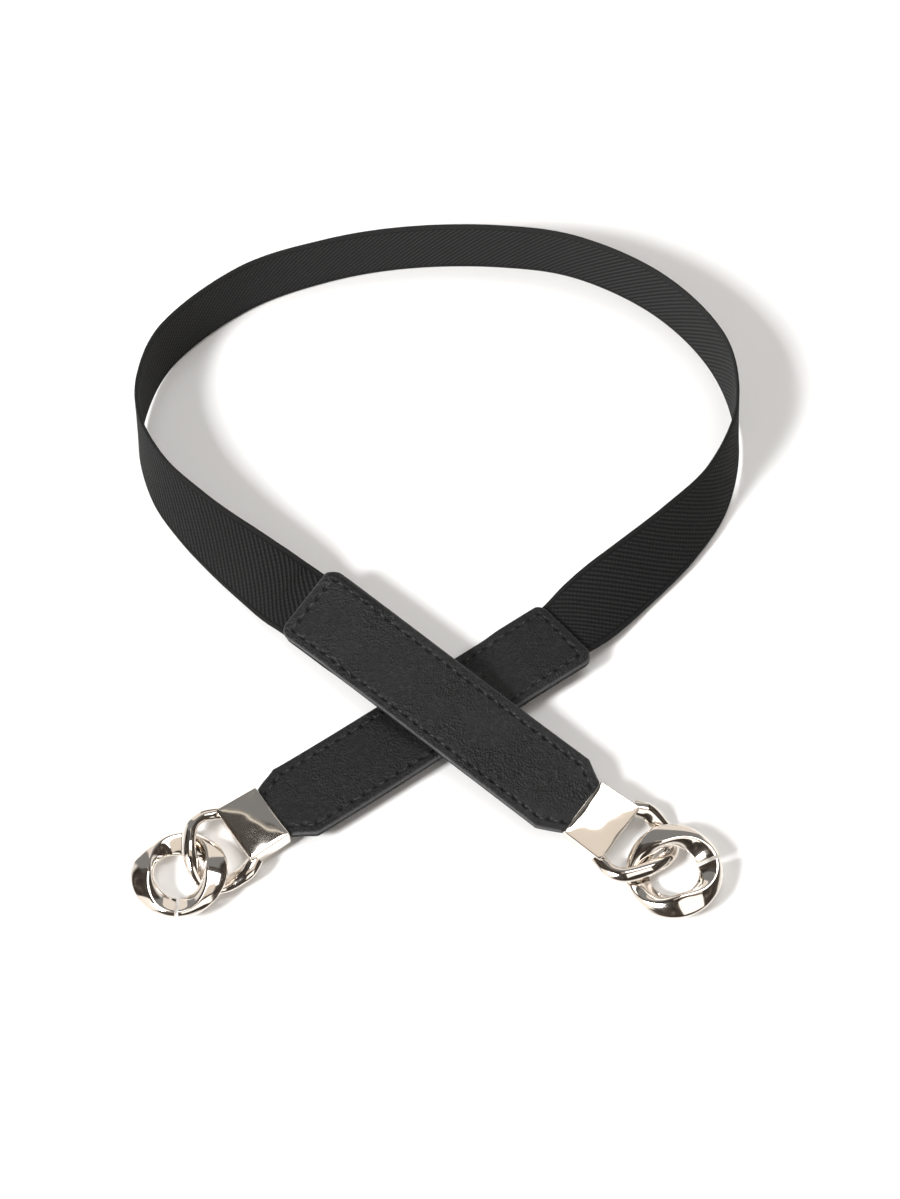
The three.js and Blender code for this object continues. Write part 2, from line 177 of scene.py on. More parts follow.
# The elastic. It is one strip of black webbing, 20 mm wide and 1 mm thick, woven in a fine diagonal rib with
# a plain selvedge at both edges. It stands on its lower edge round the back and runs into both tabs.

# x, y, height of the lower edge, and lean inwards from upright in degrees, from the right cap to the left one
STATIONS = np.array([
    (37.4, -87.7, 3.2, 82), (31.2, -82.7, 3.8, 83), (12.0, -67.8, 6.6, 86), (-5.3, -54.1, 8.2, 86),
    (-24.2, -38.0, 7.6, 84), (-42.4, -22.0, 4.8, 77), (-48.3, -17.0, 3.4, 66), (-54.5, -10.4, 1.8, 52),
    (-63.5, -0.6, 0.5, 39), (-72.6, 10.0, 0.8, 28), (-80.3, 21.9, 1.2, 17), (-84.9, 37.6, 1.4, 5),
    (-84.5, 50.2, 1.0, -1), (-77.8, 67.8, 0.4, -5), (-56.6, 87.9, 0, -5), (-33.8, 98.0, 0, -2),
    (-10.8, 103.0, 0, -1), (18.1, 103.6, 0, -1), (40.4, 99.7, 0, -1), (64.2, 85.8, 0, -3),
    (79.8, 65.4, 0.6, -4), (85.4, 42.2, 1.4, 5), (81.3, 19.4, 1.5, 22), (71.6, 3.4, 1.1, 39),
    (57.6, -12.0, 0.9, 57), (47.4, -22.5, 2.8, 82), (40.3, -28.3, 5.1, 100), (21.0, -41.5, 4.9, 100),
    (-6.1, -60.6, 4.4, 98), (-32.9, -78.9, 4.5, 97), (-38.7, -82.3, 4.4, 96), (-45.3, -86.9, 4.3, 96)])
# Sizes in millimetres, here and below. The elastic's tuck is its end inside each tab.
ELASTIC = {"width": 20.1, "thick": 1.0, "tuck": 14.0}
# A tab starts its clearance away from the cap with its shoulder, the half width there. It has its full width
# where the chamfer ends and is rounded at its other end. Its tongue goes on into the cap. The seam is the
# space that its layers keep between them, and the edge the radius of their rounding.
TAB = {"width": 23.5, "length": 96.4, "layer": 1.0, "seam": 0.3, "edge": 0.55, "corner": 3.2, "clear": 0.35,
       "shoulder": 8.4, "chamfer": 6.5, "tongue": 7.2, "tongue_width": 14.8}
# For each tab: the station at its cap, the sign that turns the band's direction towards the cap, how far the
# tab reaches below the elastic, and the cap's turn in degrees.
TABS = {"right": {"row": 1, "towards": -1, "below": 0.5, "turn": 1.9},
        "left": {"row": len(STATIONS) - 2, "towards": 1, "below": 2.9, "turn": 1.6}}


def smooth_curve(points, t):
    """Points on a smooth curve through the given ones, and the directions along it, for t from 0 to 1.

    Between two points the curve is a cubic. Its slope at each is the sum of those to both neighbours less
    that between them, with every step measured by the square root of its length.
    """
    ends = np.vstack([2 * points[0] - points[1], points, 2 * points[-1] - points[-2]])
    step = np.sqrt(np.linalg.norm(np.diff(ends, axis=0), axis=1))
    place = np.clip(t, 0, 1) * (len(points) - 1)
    i = np.minimum(place.astype(int), len(points) - 2)
    w = (place - i)[:, None]
    p0, p1, p2, p3 = (ends[i + k] for k in range(4))
    d0, d1, d2 = (step[i + k][:, None] for k in range(3))
    slope_in = ((p1 - p0) / d0 - (p2 - p0) / (d0 + d1) + (p2 - p1) / d1) * d1
    slope_out = ((p2 - p1) / d1 - (p3 - p1) / (d1 + d2) + (p3 - p2) / d2) * d1
    c2 = 3 * (p2 - p1) - 2 * slope_in - slope_out
    c3 = 2 * (p1 - p2) + slope_in + slope_out
    return p1 + w * (slope_in + w * (c2 + w * c3)), slope_in + w * (2 * c2 + 3 * w * c3)


def unit(vectors):
    """The vectors at length one: each divided by its own length."""
    return vectors / np.linalg.norm(vectors, axis=-1, keepdims=True)


def lengths_along(path):
    """The distance along a path at each of its points: the sum of the steps up to there."""
    return np.concatenate([[0], np.cumsum(np.linalg.norm(np.diff(path, axis=0), axis=1))])


def beside_rows(values):
    """One value for each station, with its number beside it, as points for a smooth curve to pass through."""
    return np.column_stack([values, np.arange(len(values)), np.zeros(len(values))])


STEPS_BETWEEN = 24
fine = np.linspace(0, 1, STEPS_BETWEEN * (len(STATIONS) - 1) + 1)
fine_lengths = lengths_along(smooth_curve(STATIONS[:, :3], fine)[0])


def band_frame(distance):
    """The band at distances along it: its lower edge, its directions along and across, and its outer normal.

    Across is the lean's sine times the level direction inwards plus its cosine times up, squared to along.
    The edge is raised by half the thickness times the lean's sine, so that the lower face clears the table.
    """
    t = np.interp(distance, fine_lengths, fine)
    edge, along = smooth_curve(STATIONS[:, :3], t)
    along = unit(along)
    lean = np.radians(smooth_curve(beside_rows(STATIONS[:, 3]), t)[0][:, :1])
    inward = unit(np.column_stack([along[:, 1], -along[:, 0], np.zeros(len(along))]))
    across = inward * np.sin(lean) + np.array([0, 0, 1.0]) * np.cos(lean)
    across = unit(across - along * (across * along).sum(1, keepdims=True))
    outward = np.cross(across, along)
    edge[:, 2] += ELASTIC["thick"] / 2 * np.abs(np.sin(lean[:, 0]))
    return edge, along, across, outward


def band_point(distance, height, depth):
    """Points at distances along the band, heights across it from its lower edge, and depths out of it."""
    distance, height, depth = np.broadcast_arrays(distance, height, depth)
    edge, _, across, outward = band_frame(distance.ravel())
    points = edge + across * height.reshape(-1, 1) + outward * depth.reshape(-1, 1)
    return points.reshape(distance.shape + (3,))


def tab_span(tab):
    """Distances along the band where the tab meets its cap and where it ends on the elastic."""
    cap = fine_lengths[tab["row"] * STEPS_BETWEEN]
    return cap, cap - tab["towards"] * TAB["length"]


def add_piece(name, points, faces, material, body, replaced=(), sharp=None):
    """Makes a mesh object of points in millimetres, with its faces outwards, and fastens it to its body.

    They are turned round where its volume is negative, a sixth of the sum of the triangles' triple products.
    Edges that turn by more than the sharp angle, in degrees, stay sharp.
    """
    points = np.asarray(points, float).reshape(-1, 3)
    mesh = bpy.data.meshes.new(name)
    mesh.from_pydata((points * MM).tolist(), [], faces)
    mesh.validate()
    mesh.update()
    mesh.calc_loop_triangles()
    corners = np.zeros(len(mesh.loop_triangles) * 3, int)
    mesh.loop_triangles.foreach_get("vertices", corners)
    a, b, c = (points[corners.reshape(-1, 3)[:, k]] for k in range(3))
    if (a * np.cross(b, c)).sum() < 0:
        mesh.flip_normals()
    mesh.shade_smooth()
    if sharp:
        mesh.set_sharp_from_angle(angle=math.radians(sharp))
    mesh.materials.append(material)
    piece = bpy.data.objects.new(name, mesh)
    bpy.context.collection.objects.link(piece)
    if body:
        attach(piece, body)
        if replaced:
            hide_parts(*replaced)
    return piece


def loops_to_faces(rows, columns, strips=False):
    """Quads that join a row of closed loops, and over each end a face, or a strip of quads across it."""
    i, j = np.meshgrid(np.arange(rows - 1), np.arange(columns), indexing="ij")
    k = (j + 1) % columns
    quads = np.stack([i * columns + j, i * columns + k, (i + 1) * columns + k, (i + 1) * columns + j], -1)
    if strips:
        j = np.arange(columns // 2 - 1)
        start = np.stack([j, columns - 1 - j, columns - 2 - j, j + 1], -1)
    else:
        start = np.arange(columns)[None, ::-1]
    end = start[:, ::-1] + (rows - 1) * columns
    return quads.reshape(-1, 4).tolist() + start.tolist() + end.tolist()


def keep_on_points(piece, name, values):
    """Keeps three values for each point of a piece under a name, for its material to read."""
    attribute = piece.data.attributes.new(name, "FLOAT_VECTOR", "POINT")
    attribute.data.foreach_set("vector", np.asarray(values, np.float32).ravel())


def woven_elastic():
    """Black polyester webbing over rubber threads, woven as a twill: matt, with fine slanting ribs.

    The ribs slope at 45 degrees, 1.75 mm apart along the band and so 1.2 mm apart across the slope, about as
    in the real weave. Each has slight beads, 1.1 mm apart.
    """
    rib_along, bead_along = 1.75, 1.5
    material, tree, shader = new_material("woven_elastic")
    weave = add_node(tree, "ShaderNodeAttribute", {"attribute_name": "weave"}).outputs["Vector"]
    split = add_node(tree, "ShaderNodeSeparateXYZ", Vector=weave)
    across_rib = add_node(tree, "ShaderNodeMath", {"operation": "SUBTRACT"},
                          _0=split.outputs["X"], _1=split.outputs["Y"])
    phase = add_node(tree, "ShaderNodeMath", {"operation": "MULTIPLY", 1: 2 * math.pi / rib_along},
                     _0=across_rib.outputs[0])
    wave = add_node(tree, "ShaderNodeMath", {"operation": "SINE"}, _0=phase.outputs[0])
    rib = add_node(tree, "ShaderNodeMapRange", {"From Min": -1.0, "From Max": 1.0}, Value=wave.outputs[0])
    along_rib = add_node(tree, "ShaderNodeMath", {"operation": "ADD"},
                         _0=split.outputs["X"], _1=split.outputs["Y"])
    phase = add_node(tree, "ShaderNodeMath", {"operation": "MULTIPLY", 1: 2 * math.pi / bead_along},
                     _0=along_rib.outputs[0])
    bead = add_node(tree, "ShaderNodeMath", {"operation": "SINE"}, _0=phase.outputs[0])
    fuzz = add_node(tree, "ShaderNodeTexNoise", {"Scale": 2.2, "Detail": 3.0, "Roughness": 0.6}, Vector=weave)
    # The selvedge: a plain band 1.2 mm wide along either edge, with one fine low line where the ribs stop,
    # which the colour below paints dark as painted shade.
    offset = add_node(tree, "ShaderNodeMath", {"operation": "SUBTRACT", 1: ELASTIC["width"] / 2},
                      _0=split.outputs["Y"])
    from_middle = add_node(tree, "ShaderNodeMath", {"operation": "ABSOLUTE"}, _0=offset.outputs[0])
    ribbed = add_node(tree, "ShaderNodeMapRange", {"From Min": 8.7, "From Max": 8.3},
                      Value=from_middle.outputs[0])
    selvedge = add_node(tree, "ShaderNodeMapRange", {"From Min": 8.75, "From Max": 9.0, "To Max": 0.55},
                        Value=from_middle.outputs[0])
    ribs = add_node(tree, "ShaderNodeMath", {"operation": "MULTIPLY_ADD"},
                    _0=rib.outputs[0], _1=ribbed.outputs[0], _2=selvedge.outputs[0])
    beads = add_node(tree, "ShaderNodeMath", {"operation": "MULTIPLY"},
                     _0=bead.outputs[0], _1=ribbed.outputs[0])
    woven = add_node(tree, "ShaderNodeMath", {"operation": "MULTIPLY_ADD", 1: 0.13},
                     _0=beads.outputs[0], _2=ribs.outputs[0])
    height = add_node(tree, "ShaderNodeMath", {"operation": "MULTIPLY_ADD", 1: 0.7},
                      _0=fuzz.outputs[0], _2=woven.outputs[0])
    # The inner face is smoother: its ribs stand only a third as high. Its colour is painted 1.6 times paler,
    # painted light that stands in for the brighter light on that face.
    inner = add_node(tree, "ShaderNodeMapRange", {"From Min": 0.5, "From Max": -0.5},
                     Value=split.outputs["Z"])
    relief = add_node(tree, "ShaderNodeMapRange", {"To Min": 1.0, "To Max": 0.35}, Value=inner.outputs[0])
    bump = add_node(tree, "ShaderNodeBump", {"Distance": 0.32 * MM},
                    Height=height.outputs[0], Strength=relief.outputs[0])
    # The colour follows the height: painted shade in the low places between the ribs and in the selvedge's
    # fine line, and a painted highlight on the crests.
    shade = add_node(tree, "ShaderNodeMapRange", {"From Min": 0.1, "From Max": 1.5}, Value=height.outputs[0])
    ramp = add_node(tree, "ShaderNodeValToRGB", Fac=shade.outputs[0])
    set_ramp(ramp, [(0.0, linear("#0e0e0f")), (0.45, linear("#171717")), (1.0, linear("#2a2a2a"))])
    paler = add_node(tree, "ShaderNodeMix",
                     {"data_type": "RGBA", "blend_type": "MULTIPLY", 7: (1.6, 1.6, 1.6, 1.0)},
                     _0=inner.outputs[0], _6=ramp.outputs["Color"])
    tree.links.new(paler.outputs[2], shader.inputs["Base Color"])
    tree.links.new(bump.outputs["Normal"], shader.inputs["Normal"])
    shader.inputs["Roughness"].default_value = 0.8
    shader.inputs["Specular IOR Level"].default_value = 0.12
    shader.inputs["Sheen Weight"].default_value = 0.015
    shader.inputs["Sheen Roughness"].default_value = 0.5
    return material


def elastic_strip(rows=900, columns=34):
    """The strip as closed loops along the band: flat faces, with each edge a half circle as thick as it.

    The material reads each point's distance along the band, its height, and the face of the strip it is on.
    """
    start = tab_span(TABS["right"])[1] - ELASTIC["tuck"]
    stop = tab_span(TABS["left"])[1] + ELASTIC["tuck"]
    distance = np.linspace(start, stop, rows)
    radius = ELASTIC["thick"] / 2
    face = np.linspace(radius, ELASTIC["width"] - radius, columns)
    turn = np.linspace(-math.pi / 2, math.pi / 2, 7)[1:-1]
    rounded = radius * np.cos(turn)
    height = np.concatenate([face, ELASTIC["width"] - radius + rounded, face[::-1], radius - rounded])
    flat, arc = np.full(columns, radius), radius * np.sin(turn)
    depth = np.concatenate([-flat, arc, flat, -arc])
    points = band_point(distance[:, None], height[None], depth[None])
    faces = loops_to_faces(*points.shape[:2], strips=True)
    piece = add_piece("elastic_webbing", points, faces, woven_elastic(), "belt",
                      ["elastic_band"], 50)
    weave = np.broadcast_arrays(distance[:, None], height[None], np.sign(depth)[None])
    keep_on_points(piece, "weave", np.stack(weave, -1))


elastic_strip()


# The leather tabs. Each is two layers of black grained leather with pressed, rounded edges, sewn face to face
# over the elastic's end with a lock stitch 2.6 mm in from the edge. The cap holds the narrowed other end.

# The tab steps out from its tongue to its shoulder over this length.
SHOULDER_STEP = 0.05
# The layers part over a run that ends short of the elastic, each by half its thickness and the slack. They
# close again a little beside the elastic's edges, over the fade.
PARTING = {"run": 7, "short": 1, "slack": 0.4, "beside": 0.3, "fade": 2}
# The row's inset and the stitch's length, the thread's radius, the first hole's distance from the cap and the
# radius of the row's corners. Then half a hole's sizes and its depth, the furrow's depth and half its width,
# and how far the thread dives under the leather's face and rises again.
STITCH = {"inset": 2.6, "pitch": 3.7, "thread": 0.2, "first": 1.6, "corner": 1.2,
          "hole_along": 0.7, "hole_across": 0.4, "hole_depth": 0.5, "furrow": 0.04, "furrow_half": 0.5,
          "dive": 0.9, "rise": 0.84}


def smooth_step(share):
    """A share from 0 to 1 eased at both ends: three times its square less twice its cube."""
    return share * share * (3 - 2 * share)


def half_width(from_cap):
    """Half the tab's width at a distance from the cap: tongue, shoulder, chamfer, side and rounded corner."""
    full, corner = TAB["width"] / 2, TAB["corner"]
    places = [TAB["clear"] - SHOULDER_STEP, TAB["clear"], TAB["chamfer"]]
    width = np.interp(from_cap, places, [TAB["tongue_width"] / 2, TAB["shoulder"], full])
    short = np.clip(corner - (TAB["length"] - from_cap), 0, corner)
    return np.where(short > 0, full - (corner - np.sqrt(corner ** 2 - short ** 2)), width)


def from_outline(from_cap, offset):
    """Distance inwards from the tab's outline: the least to its side, its chamfer and its rounded end."""
    full, corner, y = TAB["width"] / 2, TAB["corner"], np.abs(offset)
    run, rise = TAB["chamfer"] - TAB["clear"], full - TAB["shoulder"]
    chamfer = ((from_cap - TAB["clear"]) * rise - (y - TAB["shoulder"]) * run) / math.hypot(run, rise)
    u, v = from_cap - (TAB["length"] - corner), y - (full - corner)
    straight = corner + np.minimum(-u, -v)
    rounded = corner - np.hypot(np.maximum(u, 0), np.maximum(v, 0))
    return np.minimum(np.where((u > 0) | (v > 0), rounded, straight), chamfer)


def layer_space(tab, from_cap, offset):
    """Half the space between the layers: it opens smoothly where the elastic lies between them.

    Beyond the elastic's edges it closes again towards the tab's sides, where the layers are pressed together.
    """
    opens_at = TAB["length"] - ELASTIC["tuck"] - PARTING["short"]
    share = np.clip((opens_at - from_cap) / PARTING["run"], 0, 1)
    height = TAB["width"] / 2 - tab["below"] + offset
    beyond = np.maximum(-height, height - ELASTIC["width"])
    side = np.clip((beyond - PARTING["beside"]) / PARTING["fade"], 0, 1)
    closed = 1 - (1 - smooth_step(share)) * (1 - smooth_step(side))
    return (ELASTIC["thick"] / 2 + PARTING["slack"]) * (1 - closed) + TAB["seam"] / 2 * closed


def cap_axes(tab):
    """The cap's frame: the middle of its rear face, and its directions away from the tab, sideways and up."""
    cap = tab_span(tab)[0]
    _, along, _, outward = band_frame(np.array([cap]))
    ahead, above = along[0] * tab["towards"], outward[0]
    beside = np.cross(above, ahead)
    turn = math.radians(tab["turn"])
    middle = band_point(cap, TAB["width"] / 2 - tab["below"], 0.0)
    turned_ahead = ahead * math.cos(turn) + beside * math.sin(turn)
    turned_beside = beside * math.cos(turn) - ahead * math.sin(turn)
    return middle, turned_ahead, turned_beside, above


def in_cap(tab, forward, side, height):
    """Points given in the cap's frame, turned into the belt's."""
    middle, ahead, beside, above = cap_axes(tab)
    return middle + ahead * forward[..., None] + beside * side[..., None] + above * height[..., None]


def on_tab(tab, from_cap, offset, depth):
    """Points of the tab: on the band, but in the cap's frame near the cap, blended over the first 8 mm."""
    held_until, free_from = 0.5, 8.0
    from_cap, offset, depth = np.broadcast_arrays(from_cap, offset, depth)
    cap = tab_span(tab)[0]
    free = band_point(cap - tab["towards"] * from_cap, TAB["width"] / 2 - tab["below"] + offset, depth)
    held = in_cap(tab, -from_cap, -tab["towards"] * offset, depth)
    share = smooth_step(np.clip((from_cap - held_until) / (free_from - held_until), 0, 1)[..., None])
    return free * share + held * (1 - share)


def stitch_line():
    """The stitch row from the cap up one side, round the end and back, as distances from the cap and offsets.

    Returns its path, the lengths along that, and the places of the holes on it.
    """
    inset, corner, full = STITCH["inset"], STITCH["corner"], TAB["width"] / 2
    side, end = full - inset, TAB["length"] - inset
    slope = (full - TAB["shoulder"]) / (TAB["chamfer"] - TAB["clear"])
    first_offset = TAB["shoulder"] + (STITCH["first"] - TAB["clear"]) * slope - inset * math.hypot(1, slope)
    bend = (STITCH["first"] + (side - first_offset) / slope, side)
    turn = np.linspace(math.pi / 2, 0, 7)
    rounded = np.column_stack([end - corner + corner * np.cos(turn), side - corner + corner * np.sin(turn)])
    half = np.vstack([[(STITCH["first"], first_offset), bend], rounded])
    path = np.vstack([half * (1, -1), half[::-1]])
    lengths = lengths_along(path)
    count = round(lengths[-1] / STITCH["pitch"])
    return path, lengths, np.linspace(0, lengths[-1], count + 1)


def along_path(path, lengths, place):
    """The points of a flat path at distances along it."""
    return np.interp(place, lengths, path[:, 0]), np.interp(place, lengths, path[:, 1])


def stitch_holes(from_cap, offset):
    """How deep in a stitch hole each place is, from 0 to 1: a bell 1.4 mm long and 0.8 mm wide at every hole.

    It is flat-topped: e to the minus fourth power of each place over half its size, multiplied together. The
    row's direction at a hole is that from 0.1 mm before it to 0.1 mm after it.
    """
    path, lengths, places = stitch_line()
    holes = np.zeros(np.shape(from_cap))
    for place in places:
        u, v = along_path(path, lengths, place)
        next_u, next_v = along_path(path, lengths, place + 0.1)
        last_u, last_v = along_path(path, lengths, place - 0.1)
        du, dv = next_u - last_u, next_v - last_v
        along = ((from_cap - u) * du + (offset - v) * dv) / math.hypot(du, dv)
        beside = ((offset - v) * du - (from_cap - u) * dv) / math.hypot(du, dv)
        bell = np.exp(-(along / STITCH["hole_along"]) ** 4 - (beside / STITCH["hole_across"]) ** 4)
        holes = np.maximum(holes, bell)
    return holes


def leather_height(from_cap, offset):
    """How far the outer face stands over the layer's inner face, rounded at the edge, sunk at the stitches.

    The edge is a quarter circle. The stitch row lies in a very shallow furrow, which is a bell across.
    """
    radius = TAB["edge"]
    inwards = np.maximum(from_outline(from_cap, offset), 0)
    inwards = np.where(from_cap < TAB["clear"], radius, inwards)
    rounded = TAB["layer"] - radius + np.sqrt(radius ** 2 - (radius - np.minimum(inwards, radius)) ** 2)
    furrow = STITCH["furrow"] * np.exp(-((inwards - STITCH["inset"]) / STITCH["furrow_half"]) ** 2)
    return rounded - furrow - STITCH["hole_depth"] * stitch_holes(from_cap, offset)


def grained_leather():
    """Black cowhide with a fine pressed grain and a satin finish: soft broad highlights broken by the grain.

    Its pebbles are about 0.6 mm across and a few fine creases run between them.
    """
    material, tree, shader = new_material("grained_leather")
    place = add_node(tree, "ShaderNodeTexCoord").outputs["Object"]
    pebbles = add_node(tree, "ShaderNodeTexVoronoi",
                       {"feature": "SMOOTH_F1", "Scale": 1700.0, "Smoothness": 0.6}, Vector=place)
    creases = add_node(tree, "ShaderNodeTexNoise", {"Scale": 700.0, "Detail": 4.0, "Roughness": 0.62},
                       Vector=place)
    soft = add_node(tree, "ShaderNodeTexNoise", {"Scale": 90.0, "Detail": 2.0}, Vector=place)
    grain = add_node(tree, "ShaderNodeMath", {"operation": "MULTIPLY_ADD", 1: 0.9},
                     _0=creases.outputs[0], _2=pebbles.outputs["Distance"])
    # The grain is pressed deeper in some places than in others.
    pressed = add_node(tree, "ShaderNodeMapRange",
                       {"From Min": 0.35, "From Max": 0.65, "To Min": 0.4, "To Max": 1.0},
                       Value=soft.outputs[0])
    bump = add_node(tree, "ShaderNodeBump", {"Distance": 0.36 * MM},
                    Height=grain.outputs[0], Strength=pressed.outputs[0])
    # The colour follows the creases: painted shade in their low places and paler tops, a painted highlight on
    # the grain.
    ramp = add_node(tree, "ShaderNodeValToRGB", Fac=creases.outputs[0])
    set_ramp(ramp, [(0.32, linear("#121212")), (0.52, linear("#171718")), (0.7, linear("#222223"))])
    roughness = add_node(tree, "ShaderNodeMapRange", {"To Min": 0.42, "To Max": 0.62}, Value=soft.outputs[0])
    # The front layer's edge is painted pale, a painted highlight along its rounded rim, and the stitch holes
    # are painted near black, painted shade in them.
    worked = add_node(tree, "ShaderNodeAttribute", {"attribute_name": "worked"}).outputs["Vector"]
    split = add_node(tree, "ShaderNodeSeparateXYZ", Vector=worked)
    painted_rim_highlight = add_node(tree, "ShaderNodeMix", {"data_type": "RGBA", 7: linear("#4c4c4d")},
                      _0=split.outputs["Y"], _6=ramp.outputs["Color"])
    # Painted shade: the stitch holes are painted near black, deepest at their middles.
    painted_hole_shade = add_node(tree, "ShaderNodeMix", {"data_type": "RGBA", 7: linear("#020202")},
                       _0=split.outputs["X"], _6=painted_rim_highlight.outputs[2])
    tree.links.new(painted_hole_shade.outputs[2], shader.inputs["Base Color"])
    tree.links.new(roughness.outputs[0], shader.inputs["Roughness"])
    tree.links.new(bump.outputs["Normal"], shader.inputs["Normal"])
    shader.inputs["Specular IOR Level"].default_value = 0.25
    return material


def waxed_thread():
    """Black waxed polyester thread, twisted of three strands: a little paler and shinier than the leather."""
    material, tree, shader = new_material("waxed_thread")
    shader.inputs["Base Color"].default_value = linear("#2a2a2c")
    place = add_node(tree, "ShaderNodeTexCoord").outputs["Object"]
    strands = add_node(tree, "ShaderNodeTexNoise", {"Scale": 3000.0, "Detail": 1.0}, Vector=place)
    bump = add_node(tree, "ShaderNodeBump", {"Strength": 0.5, "Distance": 0.1 * MM},
                    Height=strands.outputs[0])
    tree.links.new(bump.outputs["Normal"], shader.inputs["Normal"])
    shader.inputs["Roughness"].default_value = 0.5
    return material


leather = grained_leather()
thread = waxed_thread()


def tab_grid():
    """The tab's grid, as distances from the cap and offsets: 0.42 mm apart, finer near the sides and end."""
    spacing, half = 0.42, TAB["width"] / 2
    close = np.array([0, 0.06, 0.16, 0.3, 0.5, 0.8, 1.2, 1.5, 1.75, 2.0, 2.2, 2.4, 2.65, 2.9, 3.2])
    held = [-TAB["tongue"], -3, TAB["clear"] - SHOULDER_STEP]
    free = np.arange(TAB["clear"], TAB["length"] - 3.5, spacing)
    rows = np.concatenate([held, free, TAB["length"] - close[::-1]])
    inset = np.concatenate([close, np.arange(3.6, half - 0.2, spacing)])
    column = np.concatenate([inset - half, [0], (half - inset)[::-1]]) / half
    return np.broadcast_to(rows[:, None], (len(rows), len(column))), half_width(rows)[:, None] * column[None]


def leather_layer(side_name, face):
    """One layer of a tab: an outer grid with the leather's relief and a flat inner one, joined round the rim.

    The material reads how deep in a stitch hole each point is, for the painted shade there, and how near each
    point is to the front layer's edge, for the painted highlight along it.
    """
    tab = TABS[side_name]
    u, v = tab_grid()
    space = layer_space(tab, u, v)
    outer = on_tab(tab, u, v, face * (space + leather_height(u, v)))
    lining = on_tab(tab, u, v, face * space)
    n, m = u.shape
    points = np.concatenate([outer.reshape(-1, 3), lining.reshape(-1, 3)])
    i, j = np.meshgrid(np.arange(n - 1), np.arange(m - 1), indexing="ij")
    quads = np.stack([i * m + j, i * m + j + 1, (i + 1) * m + j + 1, (i + 1) * m + j], -1).reshape(-1, 4)
    first_row, last_row = np.arange(m), (n - 1) * m + np.arange(m - 2, -1, -1)
    last_column, first_column = np.arange(1, n) * m + m - 1, np.arange(n - 2, 0, -1) * m
    rim = np.concatenate([first_row, last_column, last_row, first_column])
    after = np.roll(rim, -1)
    wall = np.stack([rim, rim + n * m, after + n * m, after], -1)
    faces = np.concatenate([quads, quads[:, ::-1] + n * m, wall]).tolist()
    name = "front" if face > 0 else "back"
    piece = add_piece(f"leather_{name}_{side_name}", points, faces, leather, "belt",
                      [f"tab_{name}_{side_name}"], 60)
    # The painted highlight along the front layer's rim: full within 0.09 mm of the outline, fading out by
    # 0.54 mm.
    rim_highlight_reach, full_to = 0.54, 0.09
    near_edge = np.clip((rim_highlight_reach - from_outline(u, v)) / (rim_highlight_reach - full_to), 0, 1)
    painted_rim_highlight = np.where((u > TAB["clear"]) & (face > 0), near_edge, 0)
    worked = np.zeros((2, n * m, 3))
    worked[0] = np.column_stack([stitch_holes(u, v).ravel(), painted_rim_highlight.ravel(), np.zeros(n * m)])
    keep_on_points(piece, "worked", worked)


def lock_stitches(side_name, face, sides=8, rings_per_stitch=10):
    """The sewing thread on one face: a tube along the stitch row that dives at each hole and rises between.

    Its height is the square of a sine wave, with a half wave for each stitch. Pulled tight, it shows over the
    leather only in the middle of a stitch.
    """
    tab = TABS[side_name]
    path, lengths, places = stitch_line()
    count = len(places) - 1
    s = np.linspace(0, count, count * rings_per_stitch + 1)
    u, v = along_path(path, lengths, s / count * lengths[-1])
    arch = np.abs(np.sin(np.pi * s)) ** 2
    depth = layer_space(tab, u, v) + TAB["layer"] - STITCH["dive"] + STITCH["rise"] * arch
    middle = on_tab(tab, u, v, face * depth)
    tangent = unit(np.gradient(middle, axis=0))
    above = unit(on_tab(tab, u, v, face * (depth + 1)) - middle)
    beside = unit(np.cross(tangent, above))
    above = np.cross(beside, tangent)
    angle = (np.arange(sides) / sides * 2 * np.pi)[None, :, None]
    ring = STITCH["thread"] * (np.cos(angle) * beside[:, None] + np.sin(angle) * above[:, None])
    points = middle[:, None] + ring
    name = "front" if face > 0 else "back"
    faces = loops_to_faces(*points.shape[:2])
    add_piece(f"stitches_{name}_{side_name}", points, faces, thread, "belt", ())


for side_name in TABS:
    for face in (1, -1):
        leather_layer(side_name, face)
        lock_stitches(side_name, face)


# The end caps. Each is a flat box of cast zinc alloy, polished and nickel plated, with a slot for the leather
# and half a curb link cast on its front corners. Its faces are slightly pillowed and its edges barely broken.

# Its widths are those of its rear, where the leather goes in, and its front. Then come the bulge of its
# faces, the slot's depth with the wall beside it and the play round the leather, the radius of the edges
# round both ends and of the long ones, and how far the faces roll down towards the leather, over which reach.
CAP = {"length": 12.4, "rear": 17.2, "front": 18.0, "thick": 4.7, "crown": 0.35,
       "slot": 8.0, "wall": 0.9, "play": 0.3, "edge": 0.4, "corner": 0.35, "roll": 0.55, "roll_reach": 1.5}


def polished_nickel():
    """Bright nickel plating over polished zinc alloy: a warm silver mirror, barely dulled by wiping marks."""
    material, tree, shader = new_material("polished_nickel")
    place = add_node(tree, "ShaderNodeTexCoord").outputs["Object"]
    stretched = add_node(tree, "ShaderNodeMapping", {"Scale": (400.0, 1500.0, 900.0)}, Vector=place)
    wiping = add_node(tree, "ShaderNodeTexNoise", {"Scale": 1.0, "Detail": 3.0}, Vector=stretched.outputs[0])
    roughness = add_node(tree, "ShaderNodeMapRange", {"To Min": 0.04, "To Max": 0.11},
                         Value=wiping.outputs[0])
    waves = add_node(tree, "ShaderNodeTexNoise", {"Scale": 170.0, "Detail": 0.0}, Vector=place)
    bump = add_node(tree, "ShaderNodeBump", {"Strength": 0.3, "Distance": 0.6 * MM}, Height=waves.outputs[0])
    shader.inputs["Base Color"].default_value = linear("#efe8e0")
    shader.inputs["Metallic"].default_value = 1.0
    tree.links.new(roughness.outputs[0], shader.inputs["Roughness"])
    tree.links.new(bump.outputs["Normal"], shader.inputs["Normal"])
    return material


nickel = polished_nickel()


